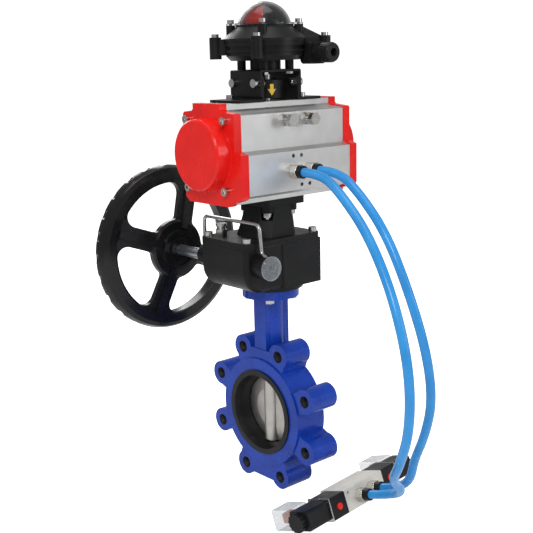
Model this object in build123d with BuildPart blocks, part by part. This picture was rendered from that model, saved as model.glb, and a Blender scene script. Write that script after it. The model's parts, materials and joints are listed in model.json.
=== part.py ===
"""Pneumatic actuated lug butterfly valve with hand override, limit switch box and solenoid valve.

Units are mm, +Z is up. The origin is the centre of the flow bore, on the stem axis.
+X runs along the pipe and the actuator, +Y points to the handwheel.
"""
import os
from math import acos, cos, pi, radians, sin, sqrt, tan

from build123d import *

# ---------------------------------------------------------------- driving dimensions
pcd_r, lug_r, lug_half, lug_hole_r = 80.0, 14.5, 19.0, 7.0
drum_r, seat_half, face_half = 65.0, 21.0, 23.0
disc_r, liner_r, body_bore_r = 40.0, 40.3, 47.0
stem_r, bush_r, run_fit = 7.0, 9.6, 0.05
neck_x, neck_y, flange_r, flange_z, flange_top = 36.0, 20.0, 33.0, 140.0, 151.0
top_pattern = 17.68
box_x0, box_x1, box_y0, box_y1, box_step = -67.0, 46.0, -37.0, 43.5, -15.0
box_z0, split_z, cover_z, tower_z, act_z0 = 155.0, 206.0, 213.0, 248.0, 257.0
worm_x, sleeve_x, worm_z = -50.5, -47.5, 186.5
wheel_tip, wheel_root, wheel_teeth = 32.5, 28.5, 36
worm_r, worm_core_r, worm_shaft_r, sleeve_r, collar_r = 14.0, 10.0, 6.5, 13.0, 11.8
bail_x, bail_rod_r = -49.5, 2.1
hand_y, hand_r, hub_y0, window_r, spoke_angle, spoke_width = 128.0, 100.0, 104.0, 80.0, 20.0, 24.0
act_mid, act_half, bore_r, act_z1 = 310.0, 76.0, 36.0, 363.0
cap_flange, cap_boss_r = 10.0, 39.0
gear_module, pinion_teeth = 2.0, 17
port_z, port_face = 289.0, -56.0
stop_x, stop_z, stop_face = 16.0, 344.0, -45.0
bracket_x, bracket_y, foot_x, plate_z, leg_bolt_y, post_grid = 30.0, 25.5, 60.0, 397.0, 18.3, 37.5
sw_z0, sw_z1, lid_z, dome_z = 407.0, 427.5, 443.0, 445.0
rim_r, screen_grid, tube_r, tube_bore_r = 46.0, 53.0, 5.0, 3.3
coil_nut_r = 11.3
sol = Plane(origin=(45.1, -88.4, -93.3), x_dir=(0.99695, 0.067, 0.04), z_dir=(-0.05880, 0.30802, 0.94956))

pitch_r = gear_module * pinion_teeth / 2
lug_corners = [(-top_pattern, -top_pattern), (-top_pattern, top_pattern),
               (top_pattern, -top_pattern), (top_pattern, top_pattern)]
cover_corners = [(-60, -30.5), (-60, 36.5), (39.5, -30.5), (39.5, 36.5)]
foot_bolts = [(-40, 15), (40, -15)]
cap_corners = [(-32, 272.5), (32, 272.5), (-32, 346.5), (32, 346.5)]
box_corners = [(-42, -35), (-42, 35), (58, -35), (58, 35)]
os.makedirs("parts", exist_ok=True)


def octagon(half, diagonal):
    """Corners of a square of the given half width with its corners cut at the given distance."""
    t = diagonal * sqrt(2) - half
    return [(half, t), (t, half), (-t, half), (-half, t), (-half, -t), (-t, -half), (t, -half), (half, -t)]


def involute_tooth(module, teeth, backlash):
    """One pinion tooth pointing along +X, as a closed outline from below the root circle."""
    pitch = module * teeth / 2
    tip = pitch + 0.95 * module
    root = pitch - 1.25 * module
    base = pitch * cos(radians(20))
    half = pi / (2 * teeth) - backlash / (2 * pitch) + tan(radians(20)) - radians(20)
    flank = []
    for k in range(6):
        r = base + (tip - base) * k / 5
        roll = tan(acos(min(1.0, base / r))) - acos(min(1.0, base / r))
        flank.append((r, half - roll))
    flank = [(root - 0.5, flank[0][1])] + flank
    upper = [(r * cos(a), r * sin(a)) for r, a in flank]
    lower = [(r * cos(a), -r * sin(a)) for r, a in reversed(flank)]
    return upper + lower


def tube_path(points):
    """Straight runs joined by tangent arcs, each as large as its two runs allow."""
    pts = [Vector(*p) for p in points]
    radii = []
    for a, b, c in zip(pts, pts[1:], pts[2:]):
        turn = radians((b - a).get_angle(c - b))
        radii.append(0.45 * min((b - a).length, (c - b).length) / tan(turn / 2))
    print("tube radii", [round(r, 1) for r in radii])
    return FilletPolyline(*pts, radius=radii)


# ---------------------------------------------------------------- valve
with BuildPart() as valve_body:
    with BuildSketch(Plane.YZ):
        Circle(drum_r)
    extrude(amount=seat_half, both=True)
    with BuildSketch(Plane.YZ):
        with PolarLocations(pcd_r, 8, start_angle=22.5):
            Circle(lug_r)
        with PolarLocations(68, 8, start_angle=22.5):
            Rectangle(24, 2 * lug_r - 3)
        with Locations((0, -71)):
            Rectangle(58, 22)
        with Locations((0, 69)):
            Rectangle(50, 16)
    extrude(amount=lug_half, both=True)
    with BuildSketch(Plane.XY.offset(58)):
        Rectangle(neck_x, neck_y)
        Circle(14)
    extrude(amount=flange_z - 58)
    with BuildSketch(Plane.XY.offset(flange_z)):
        Circle(flange_r)
    extrude(amount=flange_top - flange_z)
    chamfer(valve_body.edges().filter_by(GeomType.CIRCLE).group_by(Axis.Z)[-1], 1)
    with BuildSketch(Plane.YZ):
        Circle(body_bore_r)
        with PolarLocations(pcd_r, 8, start_angle=22.5):
            Circle(lug_hole_r)
    extrude(amount=40, both=True, mode=Mode.SUBTRACT)
    with BuildSketch(Plane.XY.offset(-74)):
        Circle(bush_r)
    extrude(amount=240, mode=Mode.SUBTRACT)
    with BuildSketch(Plane.XY.offset(flange_z - 1)):
        with Locations(*lug_corners):
            Circle(3.3)
    extrude(amount=20, mode=Mode.SUBTRACT)
valve_body.part.label = "valve_body"
export_step(valve_body.part, "parts/valve_body.step")

with BuildPart() as seat_liner:
    with BuildSketch(Plane.XZ):
        Polygon((-face_half, 44.5), (-face_half, 51), (-seat_half, 51), (-seat_half, body_bore_r - 0.05),
                (seat_half, body_bore_r - 0.05), (seat_half, 51), (face_half, 51), (face_half, 44.5),
                (14, liner_r), (-14, liner_r), align=None)
    revolve(axis=Axis.X)
    with BuildSketch(Plane.XY.offset(-60)):
        Circle(stem_r + run_fit)
    extrude(amount=120, mode=Mode.SUBTRACT)
seat_liner.part.label = "seat_liner"
export_step(seat_liner.part, "parts/seat_liner.step")

with BuildPart() as valve_disc:
    with BuildSketch(Plane.XZ):
        Polygon((-2, 0), (-2, disc_r - 1), (-1, disc_r), (1, disc_r), (2, disc_r - 1), (4.5, 24), (4.5, 0),
                (-4.5, 0), (-4.5, 24), (-2, disc_r - 1), (-2, 0), align=None)
    revolve(axis=Axis.X)
    with BuildSketch(Plane.XY.offset(-38)):
        Circle(10.5)
    extrude(amount=76)
    Sphere(disc_r, mode=Mode.INTERSECT)
    with BuildSketch(Plane.XY.offset(-45)):
        Circle(stem_r + 0.02)
    extrude(amount=90, mode=Mode.SUBTRACT)
    with BuildSketch(Plane.YZ.offset(-7.02)):
        with Locations((0, 24), (0, -24)):
            Circle(2.55)
    extrude(amount=24, mode=Mode.SUBTRACT)
valve_disc.part.label = "valve_disc"
export_step(valve_disc.part, "parts/valve_disc.step")

with BuildPart() as stem:
    with BuildSketch(Plane.XY.offset(-72)):
        Circle(stem_r)
    extrude(amount=223.5)
    chamfer(stem.edges().group_by(Axis.Z)[0], 1)
    with BuildSketch(Plane.XY.offset(151.5)):
        Rectangle(9.8, 9.8)
    extrude(amount=17)
    with BuildSketch(Plane.YZ):
        with Locations((0, 24), (0, -24)):
            Circle(2.55)
    extrude(amount=12, both=True, mode=Mode.SUBTRACT)
stem.part.label = "stem"
export_step(stem.part, "parts/stem.step")

with BuildPart() as disc_pins:
    with BuildSketch(Plane.YZ.offset(-7)):
        with Locations((0, 24), (0, -24)):
            Circle(2.5)
    extrude(amount=18)
disc_pins.part.label = "disc_pins"
export_step(disc_pins.part, "parts/disc_pins.step")

with BuildPart() as stem_seal:
    with BuildSketch(Plane.XY.offset(145)):
        Circle(bush_r - 0.04)
        Circle(stem_r + run_fit, mode=Mode.SUBTRACT)
    extrude(amount=4)
stem_seal.part.label = "stem_seal"
export_step(stem_seal.part, "parts/stem_seal.step")

with BuildPart() as neck_screws:
    with BuildSketch(Plane.XY.offset(135.4)):
        with Locations(*lug_corners):
            RegularPolygon(5.6, 6)
    extrude(amount=flange_z - 135.4)
    with BuildSketch(Plane.XY.offset(flange_z)):
        with Locations(*lug_corners):
            Circle(2.95)
    extrude(amount=20)
neck_screws.part.label = "neck_screws"
export_step(neck_screws.part, "parts/neck_screws.step")

# ---------------------------------------------------------------- hand override gearbox
with BuildPart() as gearbox_housing:
    with BuildSketch(Plane.XZ.offset(-box_y1)) as worm_end:
        with Locations(((box_x0 + box_step) / 2, (box_z0 + split_z) / 2)):
            Rectangle(box_step - box_x0, split_z - box_z0)
        fillet(worm_end.vertices().group_by(Axis.X)[0].sort_by(Axis.Y)[0], 24)
    extrude(amount=box_y1 - box_y0)
    fillet(gearbox_housing.edges().filter_by(Axis.Z).group_by(Axis.X)[0], 6)
    with BuildSketch(Plane.XY.offset(box_z0)):
        with Locations(((box_x1 + box_step) / 2, (box_y0 + box_y1) / 2)):
            RectangleRounded(box_x1 - box_step, box_y1 - box_y0 + 3, 3)
        with Locations((-20, (box_y0 + box_y1) / 2)):
            Rectangle(20, box_y1 - box_y0 - 2)
    extrude(amount=split_z - box_z0)
    with BuildSketch(Plane.XY.offset(flange_top)):
        Circle(38)
    extrude(amount=box_z0 - flange_top)
    with BuildSketch(Plane.XY.offset(174)):
        Circle(34.2)
    extrude(amount=60, mode=Mode.SUBTRACT)
    with BuildSketch(Plane.XZ.offset(22)):
        with Locations((sleeve_x, worm_z)):
            Circle(17.3)
    extrude(amount=-46, mode=Mode.SUBTRACT)
    with BuildSketch(Plane.XZ.offset(60)):
        with Locations((sleeve_x, worm_z)):
            Circle(sleeve_r + run_fit)
    extrude(amount=-120, mode=Mode.SUBTRACT)
    with BuildSketch(Plane.XY.offset(150)):
        Circle(16)
        with Locations(*lug_corners):
            Circle(3.0)
    extrude(amount=12, mode=Mode.SUBTRACT)
    with BuildSketch(Plane.XY.offset(160)):
        Circle(16)
    extrude(amount=20, mode=Mode.SUBTRACT)
    with BuildSketch(Plane.XY.offset(196.5)):
        with Locations(*cover_corners):
            Circle(3.0)
    extrude(amount=20, mode=Mode.SUBTRACT)
gearbox_housing.part.label = "gearbox_housing"
export_step(gearbox_housing.part, "parts/gearbox_housing.step")

with BuildPart() as cover_gasket:
    with BuildSketch(Plane.XY.offset(split_z)):
        with Locations(((box_x0 + box_x1) / 2, (box_y0 + box_y1) / 2)):
            RectangleRounded(box_x1 - box_x0 - 2, box_y1 - box_y0 - 2, 6)
            Rectangle(box_x1 - box_x0 - 26, box_y1 - box_y0 - 24, mode=Mode.SUBTRACT)
        with Locations(*cover_corners):
            Circle(3.2, mode=Mode.SUBTRACT)
    extrude(amount=0.6)
cover_gasket.part.label = "cover_gasket"
export_step(cover_gasket.part, "parts/cover_gasket.step")

with BuildPart() as gearbox_cover:
    with BuildSketch(Plane.XY.offset(split_z + 0.6)):
        with Locations(((box_x0 + box_x1) / 2, (box_y0 + box_y1) / 2)):
            RectangleRounded(box_x1 - box_x0, box_y1 - box_y0, 6)
    extrude(amount=cover_z - split_z - 0.6)
    with BuildSketch(Plane.XY.offset(cover_z)):
        with Locations((-3.5, 1.5)):
            Polygon(*octagon(29.5, 33), align=None)
    with BuildSketch(Plane.XY.offset(tower_z)):
        Polygon(*octagon(23.5, 25.5), align=None)
    loft()
    with BuildSketch(Plane.XY.offset(tower_z)):
        RectangleRounded(61, 61, 7)
    extrude(amount=act_z0 - tower_z)
    with BuildSketch(Plane.XY.offset(200)):
        Circle(16)
    extrude(amount=60, mode=Mode.SUBTRACT)
    with BuildSketch(Plane.XY.offset(tower_z - 16)):
        with Locations(*lug_corners):
            Circle(7.3)
    extrude(amount=16, mode=Mode.SUBTRACT)
    with BuildSketch(Plane.XY.offset(tower_z - 8)):
        with Locations(*lug_corners):
            Circle(7)
        Circle(16, mode=Mode.SUBTRACT)
    extrude(amount=8.5)
    with BuildSketch(Plane.XY.offset(tower_z - 9)):
        with Locations(*lug_corners):
            Circle(3.2)
    extrude(amount=30, mode=Mode.SUBTRACT)
    with BuildSketch(Plane.XY.offset(200)):
        with Locations(*cover_corners):
            Circle(3.2)
    extrude(amount=20, mode=Mode.SUBTRACT)
gearbox_cover.part.label = "gearbox_cover"
export_step(gearbox_cover.part, "parts/gearbox_cover.step")

with BuildPart() as cover_screws:
    with BuildSketch(Plane.XY.offset(cover_z)):
        with Locations(*cover_corners):
            Circle(4.8)
    extrude(amount=5)
    with BuildSketch(Plane.XY.offset(cover_z + 2)):
        with Locations(*cover_corners):
            RegularPolygon(2.7, 6)
    extrude(amount=5, mode=Mode.SUBTRACT)
    with BuildSketch(Plane.XY.offset(197.5)):
        with Locations(*cover_corners):
            Circle(2.95)
    extrude(amount=15.5)
cover_screws.part.label = "cover_screws"
export_step(cover_screws.part, "parts/cover_screws.step")

with BuildPart() as tower_studs:
    with BuildSketch(Plane.XY.offset(tower_z - 15)):
        with Locations(*lug_corners):
            Circle(2.95)
    extrude(amount=35)
    with BuildSketch(Plane.XY.offset(tower_z - 13)):
        with Locations(*lug_corners):
            RegularPolygon(5.6, 6)
    extrude(amount=5)
tower_studs.part.label = "tower_studs"
export_step(tower_studs.part, "parts/tower_studs.step")

with BuildPart() as worm_wheel:
    with BuildSketch(Plane.XY.offset(worm_z - 7)):
        Circle(wheel_root)
        with PolarLocations(0, wheel_teeth):
            Polygon((wheel_root - 1, 1.9), (wheel_tip, 0.9), (wheel_tip, -0.9), (wheel_root - 1, -1.9),
                    align=None)
        Circle(12.04, mode=Mode.SUBTRACT)
    extrude(amount=14)
    with BuildSketch(Plane.XY.offset(174.4)):
        Circle(17)
        Circle(12.04, mode=Mode.SUBTRACT)
    extrude(amount=worm_z - 7 - 174.4)
worm_wheel.part.label = "worm_wheel"
export_step(worm_wheel.part, "parts/worm_wheel.step")

with BuildPart() as drive_sleeve:
    with BuildSketch(Plane.XY.offset(153)):
        Circle(12)
    extrude(amount=93)
    with BuildSketch(Plane.XY.offset(246)):
        Rectangle(14, 14)
    extrude(amount=26)
    with BuildSketch(Plane.XY.offset(150)):
        Rectangle(9.9, 9.9)
    extrude(amount=20, mode=Mode.SUBTRACT)
drive_sleeve.part.label = "drive_sleeve"
export_step(drive_sleeve.part, "parts/drive_sleeve.step")

with BuildPart() as eccentric_sleeves:
    for y0, y1 in ((-55, -21.5), (23.5, 47)):
        with BuildSketch(Plane.XZ.offset(-y1)):
            with Locations((sleeve_x, worm_z)):
                Circle(sleeve_r)
        extrude(amount=y1 - y0)
    with BuildSketch(Plane.XZ.offset(-61)):
        with Locations((sleeve_x, worm_z)):
            Circle(collar_r)
    extrude(amount=14)
    with BuildSketch(Plane.XZ.offset(40)):
        with Locations((worm_x, worm_z)):
            Circle(worm_shaft_r + 1.5 + run_fit)
    extrude(amount=-85, mode=Mode.SUBTRACT)
    with BuildSketch(Plane.XZ.offset(-44)):
        with Locations((worm_x, worm_z)):
            Circle(worm_shaft_r + 0.5)
    extrude(amount=-30, mode=Mode.SUBTRACT)
eccentric_sleeves.part.label = "eccentric_sleeves"
export_step(eccentric_sleeves.part, "parts/eccentric_sleeves.step")

with BuildPart() as worm_bearings:
    for y0, y1 in ((-38, -24), (30, 44)):
        with BuildSketch(Plane.XZ.offset(-y1)):
            with Locations((worm_x, worm_z)):
                Circle(worm_shaft_r + 1.5)
                Circle(worm_shaft_r + run_fit, mode=Mode.SUBTRACT)
        extrude(amount=y1 - y0)
worm_bearings.part.label = "worm_bearings"
export_step(worm_bearings.part, "parts/worm_bearings.step")

with BuildPart() as clutch_bail:
    with BuildLine() as bail_line:
        FilletPolyline((bail_x, -54, 196.4), (bail_x, -42.6, 202), (bail_x, -39.6, 233),
                       (bail_x, 57, 233), (bail_x, 57, 196.8), radius=[4.5, 7, 7])
    with BuildSketch(Plane(origin=bail_line.line @ 0, z_dir=bail_line.line % 0)):
        Circle(bail_rod_r)
    sweep()
clutch_bail.part.label = "clutch_bail"
export_step(clutch_bail.part, "parts/clutch_bail.step")

with BuildPart() as bail_disc:
    with BuildSketch(Plane.XZ.offset(55.0)):
        with Locations((sleeve_x, worm_z)):
            Circle(13.5)
    extrude(amount=3)
    fillet(bail_disc.edges().group_by(Axis.Y)[0], 1.2)
    with BuildSketch(Plane.XZ.offset(58.0)):
        with Locations((sleeve_x, worm_z)):
            Circle(3.5)
    extrude(amount=1.6)
bail_disc.part.label = "bail_disc"
export_step(bail_disc.part, "parts/bail_disc.step")

with BuildPart() as worm:
    with BuildSketch(Plane.XZ.offset(17)):
        with Locations((worm_x, worm_z)):
            Circle(worm_core_r)
            Circle(worm_shaft_r + 0.02, mode=Mode.SUBTRACT)
    extrude(amount=-34)
    for k in range(5):
        with BuildSketch(Plane.XZ.offset(14 - 5.7 * k)):
            with Locations((worm_x, worm_z)):
                Circle(worm_r)
                Circle(worm_core_r - 1, mode=Mode.SUBTRACT)
        extrude(amount=-2.6)
worm.part.label = "worm"
export_step(worm.part, "parts/worm.step")

with BuildPart() as worm_shaft:
    with BuildSketch(Plane.XZ.offset(37.5)):
        with Locations((worm_x, worm_z)):
            Circle(worm_shaft_r)
    extrude(amount=-(37.5 + 140))
    with BuildSketch(Plane.XZ.offset(-140)):
        with Locations((worm_x, worm_z)):
            Circle(4)
    extrude(amount=-8)
worm_shaft.part.label = "worm_shaft"
export_step(worm_shaft.part, "parts/worm_shaft.step")

wheel_plane = Plane(origin=(worm_x, 0, worm_z), x_dir=(1, 0, 0), z_dir=(0, 1, 0))
with BuildPart() as handwheel:
    with BuildSketch(Plane(origin=(worm_x, 0, worm_z), x_dir=(1, 0, 0), z_dir=(0, 0, 1))):
        Polygon((worm_shaft_r + 0.03, hub_y0), (13, hub_y0), (14, hub_y0 + 3), (19, hub_y0 + 3),
                (20, hub_y0 + 1), (23, hub_y0 + 1), (24, hub_y0 + 4.5), (33, hub_y0 + 4.5), (36, hub_y0 + 7),
                (window_r, hand_y - 9), (83, hand_y - 10), (92, hand_y - 10), (97, hand_y - 7),
                (hand_r, hand_y - 1), (hand_r, hand_y + 6), (97, hand_y + 10), (90, hand_y + 12),
                (83, hand_y + 10), (window_r, hand_y + 3),
                (window_r - 3, hand_y - 2), (34, hub_y0 + 13), (20, hub_y0 + 13), (18, 138),
                (worm_shaft_r + 0.03, 138), align=None)
    revolve(axis=Axis((worm_x, 0, worm_z), (0, 1, 0)))
    with BuildSketch(wheel_plane.offset(90)) as windows:
        Circle(window_r)
        Circle(36, mode=Mode.SUBTRACT)
        with Locations(Rotation(0, 0, spoke_angle), Rotation(0, 0, spoke_angle + 90)):
            Rectangle(2 * window_r + 10, spoke_width, mode=Mode.SUBTRACT)
        corners = windows.vertices().sort_by_distance((0, 0))
        fillet(corners[8:], 12)
        fillet(windows.vertices().sort_by_distance((0, 0))[:8], 6)
    extrude(amount=60, mode=Mode.SUBTRACT)
    for k in range(4):
        turn = radians(spoke_angle + 90 * k)
        with BuildSketch(Plane(origin=wheel_plane.origin, x_dir=(cos(turn), 0, -sin(turn)),
                               z_dir=(sin(turn), 0, cos(turn)))):
            Polygon((26, hub_y0 + 2), (window_r + 2, hand_y - 12.5), (window_r + 2, hand_y - 7),
                    (26, hub_y0 + 7), align=None)
        extrude(amount=4.5, both=True)
    with BuildSketch(wheel_plane.offset(hand_y + 1)):
        with PolarLocations(hand_r + 3.6, 24):
            Circle(6.6)
    extrude(amount=14, mode=Mode.SUBTRACT)
handwheel.part.label = "handwheel"
export_step(handwheel.part, "parts/handwheel.step")

with BuildPart() as handwheel_nut:
    with BuildSketch(Plane.XZ.offset(-140.05)):
        with Locations((worm_x, worm_z)):
            RegularPolygon(8, 6)
            Circle(4.03, mode=Mode.SUBTRACT)
    extrude(amount=-6)
handwheel_nut.part.label = "handwheel_nut"
export_step(handwheel_nut.part, "parts/handwheel_nut.step")

plunger_at = (-44.0, 33.0)
with BuildPart() as plunger_bush:
    with BuildSketch(Plane.XY.offset(cover_z)):
        with Locations(plunger_at):
            RegularPolygon(7, 6)
            Circle(2.3, mode=Mode.SUBTRACT)
    extrude(amount=6)
    with BuildSketch(Plane.XY.offset(cover_z + 6)):
        with Locations(plunger_at):
            Circle(4.6)
            Circle(2.3, mode=Mode.SUBTRACT)
    extrude(amount=4)
plunger_bush.part.label = "plunger_bush"
export_step(plunger_bush.part, "parts/plunger_bush.step")

with BuildPart() as lock_plunger:
    with BuildSketch(Plane.XY.offset(cover_z + 0.3)):
        with Locations(plunger_at):
            Circle(2.25)
    extrude(amount=12.5)
    with BuildSketch(Plane.XY.offset(cover_z + 10.4)):
        with Locations(plunger_at):
            Circle(6.5)
    extrude(amount=2.6)
lock_plunger.part.label = "lock_plunger"
export_step(lock_plunger.part, "parts/lock_plunger.step")

# ---------------------------------------------------------------- pneumatic actuator
body_outline = [(-22, 363), (-22, 357), (-24, 355), (-44, 353), (-45, 352), (-45, 314), (-56, 311),
                (-56, 268), (-36, 262), (-34, 257), (34, 257), (36, 262), (40, 266), (40, 352), (38, 353.5),
                (24, 355), (22, 357), (22, 363)]
with BuildPart() as actuator_body:
    with BuildSketch(Plane.YZ):
        Polygon(*body_outline, align=None)
        with Locations((0, act_mid)):
            Circle(bore_r, mode=Mode.SUBTRACT)
    extrude(amount=act_half, both=True)
    with BuildSketch(Plane.XY.offset(250)):
        Circle(17.5)
    extrude(amount=40, mode=Mode.SUBTRACT)
    with BuildSketch(Plane.XY.offset(336)):
        Circle(28.5)
    extrude(amount=14, mode=Mode.SUBTRACT)
    with BuildSketch(Plane.XY.offset(348)):
        Circle(15)
    extrude(amount=20, mode=Mode.SUBTRACT)
    with BuildSketch(Plane.XY.offset(250)):
        with Locations(*lug_corners):
            Circle(3.0)
    extrude(amount=18.2, mode=Mode.SUBTRACT)
    with BuildSketch(Plane.XY.offset(351.8)):
        with GridLocations(80, 30, 2, 2):
            Circle(2.5)
    extrude(amount=20, mode=Mode.SUBTRACT)
    with BuildSketch(Plane.XZ.offset(60)):
        with Locations((-12, port_z), (12, port_z)):
            Circle(4.95)
    extrude(amount=-36, mode=Mode.SUBTRACT)
    with BuildSketch(Plane.XZ.offset(60)):
        with Locations((-12, 305.7), (0, 305.7), (0, 273.7), (12, 273.7)):
            Circle(2.1)
    extrude(amount=-12, mode=Mode.SUBTRACT)
    with BuildSketch(Plane.XZ.offset(60)):
        with Locations((-stop_x, stop_z), (stop_x, stop_z)):
            Circle(4.05)
    extrude(amount=-42, mode=Mode.SUBTRACT)
    with BuildSketch(Plane.YZ.offset(-80), Plane.YZ.offset(60)):
        with Locations(*cap_corners):
            Circle(2.5)
    extrude(amount=20, mode=Mode.SUBTRACT)
actuator_body.part.label = "actuator_body"
export_step(actuator_body.part, "parts/actuator_body.step")

cap_outline = [(-23, 364), (-23, 358), (-25, 356), (-45, 354), (-46, 352), (-46, 315), (-57, 312), (-57, 268),
               (-55, 265), (-36, 259), (-34, 256), (34, 256), (41, 262), (41, 352), (39, 354.5), (25, 356),
               (23, 358), (23, 364)]
with BuildPart() as end_caps:
    for side in (-1, 1):
        with BuildSketch(Plane.YZ.offset(side * act_half)):
            Polygon(*cap_outline, align=None)
        extrude(amount=side * cap_flange)
        with BuildSketch(Plane.XZ):
            Polygon((side * 86, act_mid), (side * 86, act_mid + cap_boss_r + 1), (side * 101, act_mid + 38.2),
                    (side * 103, act_mid + 36), (side * 103, act_mid), align=None)
        revolve(axis=Axis((0, 0, act_mid), (1, 0, 0)))
        with BuildSketch(Plane.YZ.offset(side * act_half)):
            with Locations((0, act_mid)):
                Circle(32)
        extrude(amount=side * 20, mode=Mode.SUBTRACT)
        with BuildSketch(Plane.YZ.offset(side * act_half)):
            with Locations(*cap_corners):
                Circle(2.8)
        extrude(amount=side * 20, mode=Mode.SUBTRACT)
end_caps.part.label = "end_caps"
export_step(end_caps.part, "parts/end_caps.step")

with BuildPart() as end_cap_bolts:
    for side in (-1, 1):
        with BuildSketch(Plane.YZ.offset(side * (act_half + cap_flange))):
            with Locations(*cap_corners):
                Circle(4.4)
        extrude(amount=side * 5)
        with BuildSketch(Plane.YZ.offset(side * (act_half + cap_flange + 2))):
            with Locations(*cap_corners):
                RegularPolygon(2.4, 6)
        extrude(amount=side * 4, mode=Mode.SUBTRACT)
        with BuildSketch(Plane.YZ.offset(side * (act_half - 15))):
            with Locations(*cap_corners):
                Circle(2.45)
        extrude(amount=side * (15 + cap_flange))
end_cap_bolts.part.label = "end_cap_bolts"
export_step(end_cap_bolts.part, "parts/end_cap_bolts.step")

with BuildPart() as pinion:
    with BuildSketch(Plane.XY.offset(257.6)):
        Circle(14.4)
    extrude(amount=88)
    with BuildSketch(Plane.XY.offset(300)):
        Circle(14.6)
        with PolarLocations(0, pinion_teeth, start_angle=90):
            Polygon(*involute_tooth(gear_module, pinion_teeth, 0.25), align=None)
    extrude(amount=20)
    with BuildSketch(Plane.XY.offset(322)):
        Circle(40)
        Circle(12, mode=Mode.SUBTRACT)
    extrude(amount=40, mode=Mode.SUBTRACT)
    with BuildSketch(Plane.XY.offset(345)):
        Circle(12)
    extrude(amount=18)
    with BuildSketch(Plane.XY.offset(363)):
        Circle(6)
    extrude(amount=29)
    with BuildSketch(Plane.XY.offset(388)):
        Rectangle(20, 3.1)
    extrude(amount=10, mode=Mode.SUBTRACT)
    with BuildSketch(Plane.XY.offset(250)):
        Rectangle(14.1, 14.1)
    extrude(amount=23, mode=Mode.SUBTRACT)
pinion.part.label = "pinion"
export_step(pinion.part, "parts/pinion.step")

with BuildPart() as stop_cam:
    with BuildSketch(Plane.XY.offset(340)):
        Circle(16.5)
        with Locations((15, -10.35)):
            Rectangle(14, 12.7)
        with Locations((-10.35, 15)):
            Rectangle(12.7, 14)
        Circle(12.04, mode=Mode.SUBTRACT)
    extrude(amount=8)
stop_cam.part.label = "stop_cam"
export_step(stop_cam.part, "parts/stop_cam.step")

with BuildPart() as piston_left:
    with BuildSketch(Plane.XY.offset(act_mid - 10)):
        with Locations((-1, 24.25)):
            Rectangle(66, 9.5)
        with Locations(*[((k + 0.5) * gear_module * pi, pitch_r + 2.5) for k in range(-5, 5)]):
            Polygon((-2.36, 0.5), (-2.36, 0), (-0.75, -4.3), (0.75, -4.3), (2.36, 0), (2.36, 0.5), align=None)
    extrude(amount=20)
    with BuildSketch(Plane.YZ.offset(-47)):
        with Locations((0, act_mid)):
            Circle(bore_r - 0.06)
    extrude(amount=13)
    with BuildSketch(Plane.YZ.offset(-44)):
        with Locations((0, act_mid)):
            Circle(bore_r + 2)
            Circle(bore_r - 2.5, mode=Mode.SUBTRACT)
    extrude(amount=3.5, mode=Mode.SUBTRACT)
piston_left.part.label = "piston_left"
export_step(piston_left.part, "parts/piston_left.step")

with BuildPart() as piston_right:
    with BuildSketch(Plane.XY.offset(act_mid - 10)):
        with Locations((1, -24.25)):
            Rectangle(66, 9.5)
        with Locations(*[(k * gear_module * pi, -pitch_r - 2.5) for k in range(-4, 5)]):
            Polygon((-2.36, -0.5), (-2.36, 0), (-0.75, 4.3), (0.75, 4.3), (2.36, 0), (2.36, -0.5), align=None)
    extrude(amount=20)
    with BuildSketch(Plane.YZ.offset(34)):
        with Locations((0, act_mid)):
            Circle(bore_r - 0.06)
    extrude(amount=13)
    with BuildSketch(Plane.YZ.offset(40.5)):
        with Locations((0, act_mid)):
            Circle(bore_r + 2)
            Circle(bore_r - 2.5, mode=Mode.SUBTRACT)
    extrude(amount=3.5, mode=Mode.SUBTRACT)
piston_right.part.label = "piston_right"
export_step(piston_right.part, "parts/piston_right.step")

with BuildPart() as stop_bolts:
    with BuildSketch(Plane.XZ.offset(17.1)):
        with Locations((-stop_x, stop_z), (stop_x, stop_z)):
            Circle(4)
    extrude(amount=40)
    with BuildSketch(Plane.XZ.offset(57)):
        with Locations((-stop_x, stop_z), (stop_x, stop_z)):
            RegularPolygon(7.3, 6)
    extrude(amount=5.5)
stop_bolts.part.label = "stop_bolts"
export_step(stop_bolts.part, "parts/stop_bolts.step")

with BuildPart() as stop_nuts:
    with BuildSketch(Plane.XZ.offset(-stop_face)):
        with Locations((-stop_x, stop_z), (stop_x, stop_z)):
            RegularPolygon(7.5, 6)
            Circle(4.05, mode=Mode.SUBTRACT)
    extrude(amount=6)
stop_nuts.part.label = "stop_nuts"
export_step(stop_nuts.part, "parts/stop_nuts.step")

with BuildPart() as bushes:
    for z, length in ((-71, 20), (53, 18), (122, 22)):
        with BuildSketch(Plane.XY.offset(z)):
            Circle(bush_r - 0.04)
            Circle(stem_r + run_fit, mode=Mode.SUBTRACT)
        extrude(amount=length)
    for z, length in ((154, 19), (228, 17)):
        with BuildSketch(Plane.XY.offset(z)):
            Circle(15.96)
            Circle(12 + run_fit, mode=Mode.SUBTRACT)
        extrude(amount=length)
    with BuildSketch(Plane.XY.offset(257.6)):
        Circle(17.46)
        Circle(14.4 + run_fit, mode=Mode.SUBTRACT)
    extrude(amount=15)
    with BuildSketch(Plane.XY.offset(351)):
        Circle(14.96)
        Circle(12 + run_fit, mode=Mode.SUBTRACT)
    extrude(amount=11)
bushes.part.label = "bushes"
export_step(bushes.part, "parts/bushes.step")

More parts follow.
